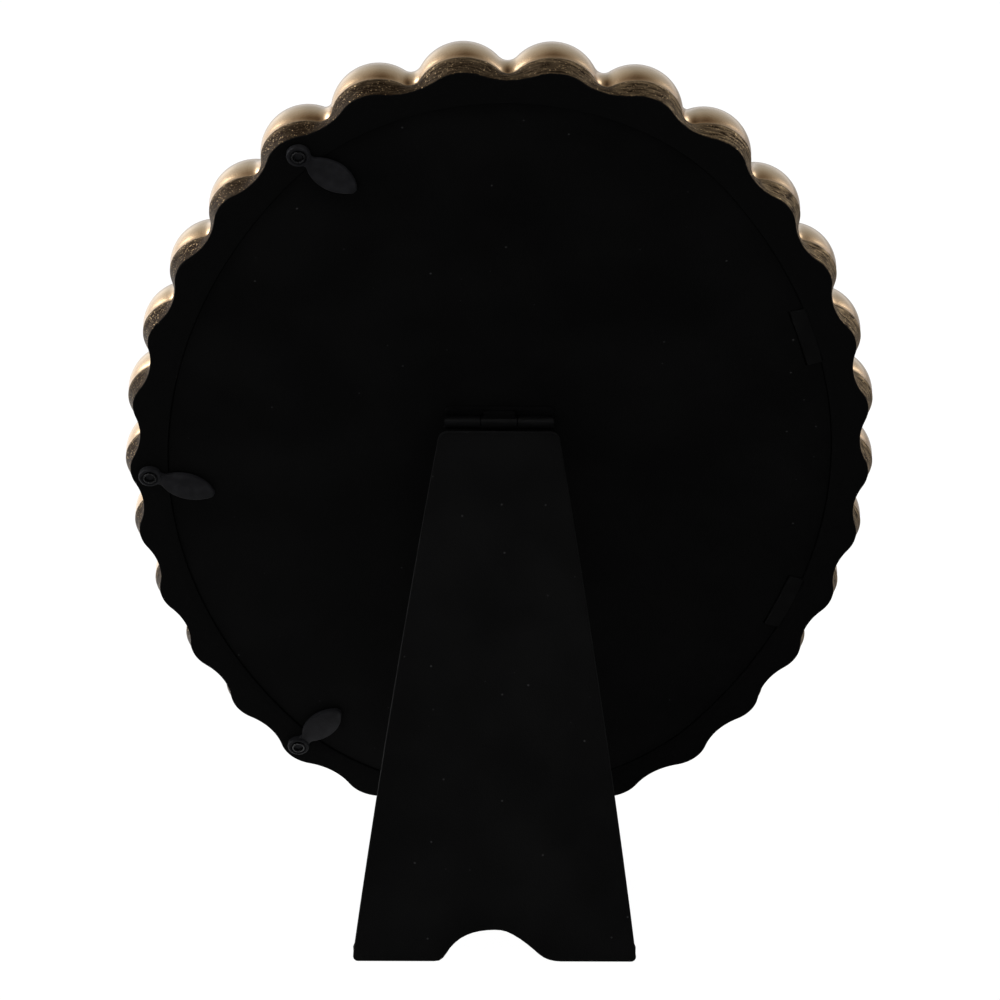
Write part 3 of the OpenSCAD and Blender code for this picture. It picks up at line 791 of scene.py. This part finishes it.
class PHOTOFRAME_OT_buttons(FrameOperator, bpy.types.Operator):
    """Makes the three leaf-shaped turn buttons"""

    bl_idname = "photoframe.buttons"
    bl_label = "Turn buttons"

    def execute(self, context):
        sizes = context.scene.photo_frame.button
        eye, end, wide = sizes.eye_radius, sizes.button_long, sizes.button_wide
        leaf_start, neck_end, neck_half = 1.6 * MM, 3.6 * MM, 1.3 * MM
        half_long = (end + 0.5 * MM - leaf_start) / 2
        arc = (half_long**2 + wide**2 / 4) / wide
        middle = leaf_start + half_long

        def half_width(x):
            """Half the width of the stamping at x: the eye, its neck, then the leaf."""
            disc = sqrt(max(eye**2 - x**2, 0))
            neck = neck_half if 0 < x < neck_end else 0
            leaf = sqrt(max(arc**2 - (x - middle) ** 2, 0)) - (arc - wide / 2)
            return max(disc, neck, leaf, 0)

        lengthwise = [eye * -cos(pi / 2 * k / 9) for k in range(1, 10)]
        lengthwise += list(np.linspace(0.15 * MM, end, 46))
        upper = [(x, half_width(x)) for x in lengthwise]
        # The tip is nipped off a little past the last station
        tip, tip_half = end + 0.12 * MM, upper[-1][1] * 0.55
        outline = upper + [(tip, tip_half), (tip, -tip_half)]
        outline += [(x, -y) for x, y in reversed(upper)] + [(-eye, 0.0)]
        thick = sizes.button_thick
        for name in BUTTON_TURNS:
            blade = outline_plate(outline, -thick, 0.0, 0.27 * MM)
            ring_out, ring_in, ring = eye - 0.02 * MM, sizes.head_radius + 0.25 * MM, sizes.ring_high
            mid, half = (ring_out + ring_in) / 2, (ring_out - ring_in) / 2
            section = [(ring_out, -thick + 0.2 * MM)]
            section += [
                (mid + half * cos(pi * k / 8), -thick - ring + half - half * sin(pi * k / 8))
                for k in range(9)
            ]
            section += [(ring_in, -thick + 0.2 * MM), (ring_out, -thick + 0.2 * MM)]
            eye_ring = spun(section, 40, Matrix.Identity(4))
            bm = merged(blade, eye_ring)
            link_piece(
                name.replace("button", "turn_button"), bm, finish("satin_enamel"), name,
                (name,), button_place(name),
            )
        return {"FINISHED"}


class PHOTOFRAME_OT_rivets(FrameOperator, bpy.types.Operator):
    """Makes the three tubular rivets with rolled heads"""

    bl_idname = "photoframe.rivets"
    bl_label = "Tubular rivets"

    def execute(self, context):
        sizes = context.scene.photo_frame.button
        thick = sizes.button_thick
        head, bore = sizes.head_radius, sizes.hollow_radius
        # The lip is rolled from a bore that opens like a funnel
        mid, half = (head + 2 * bore) / 2, (head - 2 * bore) / 2
        top = -thick - 0.55 * MM
        shank, shank_end = 0.74 * MM, 3.6 * MM
        section = [(0.0, shank_end), (shank, shank_end)]
        section += [(shank, -thick - 0.02 * MM), (head, -thick - 0.08 * MM)]
        section += [
            (mid + half * cos(pi * k / 10), top + half - half * sin(pi * k / 10)) for k in range(11)
        ]
        section += [(1.35 * bore, -thick + 0.1 * MM), (1.2 * bore, 2.6 * MM), (0.0, 2.7 * MM)]
        parts = [spun(section, 36, button_place(name)) for name in BUTTON_TURNS]
        link_piece(
            "tubular_rivets", merged(*parts), finish("polished_rivet"), "frame",
            ("button_rivets",),
        )
        return {"FINISHED"}


class PHOTOFRAME_OT_carried(FrameOperator, bpy.types.Operator):
    """Gives the sheets, boards and hinge that keep their CAD shape their real finishes"""

    bl_idname = "photoframe.carried"
    bl_label = "Sheets and hinge"

    def execute(self, context):
        wanted = {
            "glass": ("float_glass", "glass"),
            "backing_card": ("packing_card", "card"),
            "board_core": ("stained_hardboard", "hardboard"),
            "leg_core": ("stained_hardboard", "hardboard"),
            "hinge_board_leaf": ("blackened_steel", "black_steel"),
            "hinge_leg_leaf": ("blackened_steel", "black_steel"),
            "hinge_pin": ("blackened_steel", "steel"),
            "hinge_board_rivets": ("blackened_steel", "black_steel"),
            "hinge_leg_rivets": ("blackened_steel", "black_steel"),
        }
        for node, (look, slot) in wanted.items():
            piece = frame["nodes"][node]
            piece.data.materials.clear()
            piece.data.materials.append(finish(look))
        # The print lies a hair behind the glass: faces in one plane would show as stripes
        sheet = frame["nodes"]["print"]
        ahead = STAND.to_3x3() @ Vector((0, 0, 1))
        bm = bmesh.new()
        bm.from_mesh(sheet.data)
        bmesh.ops.transform(bm, matrix=sheet.matrix_world, verts=bm.verts)
        bmesh.ops.remove_doubles(bm, verts=bm.verts, dist=1e-6)
        front = max(v.co.dot(ahead) for v in bm.verts)
        face = [v for v in bm.verts if v.co.dot(ahead) > front - 0.05 * MM]
        bmesh.ops.translate(bm, verts=face, vec=-ahead * 0.04 * MM)
        link_piece("plain_print", bm, finish("photo_paper"), "frame", ("print",))
        return {"FINISHED"}


def white_sweep(colours):
    """White paper sweep: it shows white to the camera, glows with painted light and painted shade in metal,
    and keeps the shadow.
    """
    made = bpy.data.materials.new("white_paper_sweep")
    made.use_nodes = True
    tree = made.node_tree
    tree.nodes.clear()
    place = add_node(tree, "TexCoord").outputs["Object"]
    tooth = grain(tree, place, 0.002, Detail=2.0)
    paper = ramp(tree, tooth, (0.3, linear("#f6f6f6")), (0.7, colours.backdrop))
    matte = add_node(tree, "BsdfDiffuse", {"Color": paper}).outputs[0]
    # In the metal the sweep glows grey, with a painted pool of light in front on the left where the key
    # light falls, and painted shade close behind the frame
    around = add_node(tree, "VectorMath", {0: place}, operation="NORMALIZE").outputs["Vector"]
    around = add_node(tree, "SeparateXYZ", {"Vector": around}).outputs["X"]
    ahead = add_node(tree, "SeparateXYZ", {"Vector": place}).outputs["Y"]
    ahead = span(tree, ahead, 0.03, -0.06, 0.1, 2.4)
    lit = ramp(tree, around, (0.0, 0.2), (0.2, 0.28), (0.4, 0.46), (0.6, 0.66), (0.8, 0.82), (0.95, 1.0))
    lit = add_node(tree, "VectorMath", {0: lit, 3: ahead}, operation="SCALE").outputs[0]
    lit = add_node(tree, "SeparateXYZ", {"Vector": lit}).outputs["X"]
    path = add_node(tree, "LightPath")
    power = between(tree, path.outputs["Is Glossy Ray"], 1.06, lit)
    glow = add_node(tree, "Emission", {"Color": colours.backdrop, "Strength": power}).outputs[0]
    seen = calc(tree, "MAXIMUM", path.outputs["Is Camera Ray"], path.outputs["Is Glossy Ray"])
    seen = calc(tree, "MAXIMUM", seen, path.outputs["Is Transmission Ray"])
    # The rest of the share is paper that shows the frame's shadow
    share = calc(tree, "MULTIPLY", seen, 0.93)
    mix = add_node(tree, "MixShader", {0: share, 1: matte, 2: glow}).outputs[0]
    add_node(tree, "OutputMaterial", {"Surface": mix})
    return made


class PHOTOFRAME_OT_stage(FrameOperator, bpy.types.Operator):
    """Sets the white sweep, the soft lights and the camera"""

    bl_idname = "photoframe.stage"
    bl_label = "Stage, lights and camera"

    def execute(self, context):
        scene = context.scene
        colours = scene.photo_frame.colours
        bm = bmesh.new()
        bmesh.ops.create_grid(bm, x_segments=1, y_segments=1, size=4)
        mesh = bpy.data.meshes.new("floor")
        bm.to_mesh(mesh)
        bm.free()
        mesh.materials.append(white_sweep(colours))
        floor = bpy.data.objects.new("floor", mesh)
        scene.collection.objects.link(floor)
        self.world(scene)
        lamps = (
            # Name, place, size and power: two soft boxes in front, which metal sees in the world
            # instead, and two fills behind and above, which it sees as they are
            ("key_softbox", (1.0, -0.75, 0.42), (0.75, 0.8), 14),
            ("right_softbox", (-1.0, -0.75, 0.42), (0.75, 0.8), 2.4),
            ("left_fill", (0.9, 0.7, 1.7), (0.7, 0.7), 9.5),
            ("right_fill", (-0.9, 0.6, 1.7), (0.7, 0.7), 6),
        )
        for name, place, (wide, high), power in lamps:
            lamp = bpy.data.lights.new(name, "AREA")
            lamp.shape, lamp.size, lamp.size_y, lamp.energy = "RECTANGLE", wide, high, power
            holder = bpy.data.objects.new(name, lamp)
            holder.location = place
            toward = Vector((0, 0, 0.09)) - Vector(place)
            holder.rotation_euler = toward.to_track_quat("-Z", "Y").to_euler()
            holder.visible_glossy = name.endswith("fill")
            scene.collection.objects.link(holder)
        # Camera from a fit to the lobes of the rim: 848 mm away, 24.3 degrees up, behind the frame
        lens = bpy.data.cameras.new("camera")
        lens.sensor_width = 36
        lens.lens = 154.12
        lens.clip_end = 20
        camera = bpy.data.objects.new("camera", lens)
        eye, aim = Vector((0.016216, 0.77975, 0.436775)), Vector((-0.00006, 0.00745, 0.08807))
        turn = (aim - eye).to_track_quat("-Z", "Y").to_matrix() @ Matrix.Rotation(radians(0.77), 3, "Z")
        camera.matrix_world = Matrix.Translation(eye) @ turn.to_4x4()
        scene.collection.objects.link(camera)
        scene.camera = camera
        scene.view_settings.view_transform = "Standard"
        return {"FINISHED"}

    def world(self, scene):
        """Even light, white to the camera; metal sees a room that is dark overhead and behind."""
        world = bpy.data.worlds.new("studio")
        world.use_nodes = True
        tree = world.node_tree
        tree.nodes.clear()
        path = add_node(tree, "LightPath")
        way = add_node(tree, "TexCoord").outputs["Generated"]
        side = add_node(tree, "SeparateXYZ", {"Vector": way})
        # Height of the reflected direction against the room's colour, cool low down and warm overhead
        room = ramp(
            tree, side.outputs["Z"],
            (0.09, (0.74, 0.78, 0.86, 1)), (0.26, (0.54, 0.58, 0.64, 1)), (0.42, (0.46, 0.50, 0.55, 1)),
            (0.57, (0.41, 0.43, 0.45, 1)), (0.71, (0.34, 0.345, 0.34, 1)), (0.82, (0.25, 0.235, 0.20, 1)),
            (0.91, (0.15, 0.11, 0.068, 1)), (0.966, (0.055, 0.035, 0.017, 1)),
            (1.0, (0.025, 0.015, 0.007, 1)),
        )
        front = span(tree, side.outputs["Y"], 0.45, -0.1, 0.12)
        room = add_node(tree, "VectorMath", {0: room, 3: front}, operation="SCALE").outputs[0]
        # Soft boxes low on both sides, the left one the key, and a faint low one between
        boxes = (
            # Direction and brightness
            ((0.925, -0.163, 0.342), 9.0), ((-0.925, -0.163, 0.342), 3.6), ((0.642, -0.765, 0.05), 0.45),
        )
        for toward, power in boxes:
            near = add_node(tree, "VectorMath", {0: way, 1: toward}, operation="DOT_PRODUCT")
            soft = ramp(
                tree, near.outputs["Value"], (0.3, 0.0), (0.46, 0.013), (0.62, 0.024), (0.73, 0.028),
                (0.80, 0.048), (0.86, 0.09), (0.90, 0.22), (0.93, 0.6), (0.96, 1.0),
            )
            soft = add_node(tree, "VectorMath", {0: soft, 3: power}, operation="SCALE").outputs[0]
            room = add_node(tree, "VectorMath", {0: room, 1: soft}, operation="ADD").outputs[0]
        even = add_node(tree, "Background", {"Color": (0.97, 0.98, 1.0, 1), "Strength": 0.22}).outputs[0]
        mirror = add_node(tree, "Background", {"Color": room, "Strength": 1.0}).outputs[0]
        white = add_node(tree, "Background", {"Color": (1, 1, 1, 1), "Strength": 1.0}).outputs[0]
        mix = add_node(tree, "MixShader", {0: path.outputs["Is Glossy Ray"], 1: even, 2: mirror}).outputs[0]
        clear = calc(tree, "MAXIMUM", path.outputs["Is Camera Ray"], path.outputs["Is Transmission Ray"])
        mix = add_node(tree, "MixShader", {0: clear, 1: mix, 2: white}).outputs[0]
        add_node(tree, "OutputWorld", {"Surface": mix})
        scene.world = world


class PHOTOFRAME_PT_panel(bpy.types.Panel):
    """Lists the pieces in the sidebar"""

    bl_idname = "PHOTOFRAME_PT_panel"
    bl_label = "Oval photo frame"
    bl_space_type = "VIEW_3D"
    bl_region_type = "UI"
    bl_category = "Photo frame"

    def draw(self, context):
        for operator in OPERATORS:
            self.layout.operator(operator.bl_idname, text=operator.bl_label)
        settings = context.scene.photo_frame
        for group in (settings.rim, settings.back, settings.button, settings.colours):
            box = self.layout.box()
            for name in group.__annotations__:
                box.prop(group, name)


OPERATORS = (
    PHOTOFRAME_OT_rim,
    PHOTOFRAME_OT_board,
    PHOTOFRAME_OT_leg,
    PHOTOFRAME_OT_buttons,
    PHOTOFRAME_OT_rivets,
    PHOTOFRAME_OT_carried,
    PHOTOFRAME_OT_stage,
)
CLASSES = (RimSizes, BackSizes, ButtonSizes, FrameColours, FrameSettings, *OPERATORS, PHOTOFRAME_PT_panel)


def register():
    for item in CLASSES:
        bpy.utils.register_class(item)
    bpy.types.Scene.photo_frame = bpy.props.PointerProperty(type=FrameSettings)


def unregister():
    del bpy.types.Scene.photo_frame
    for item in reversed(CLASSES):
        bpy.utils.unregister_class(item)


def main():
    register()
    for operator in OPERATORS:
        group, name = operator.bl_idname.split(".")
        if getattr(getattr(bpy.ops, group), name)() != {"FINISHED"}:
            raise RuntimeError(operator.bl_idname + " did not finish")


if __name__ == "__main__":
    main()
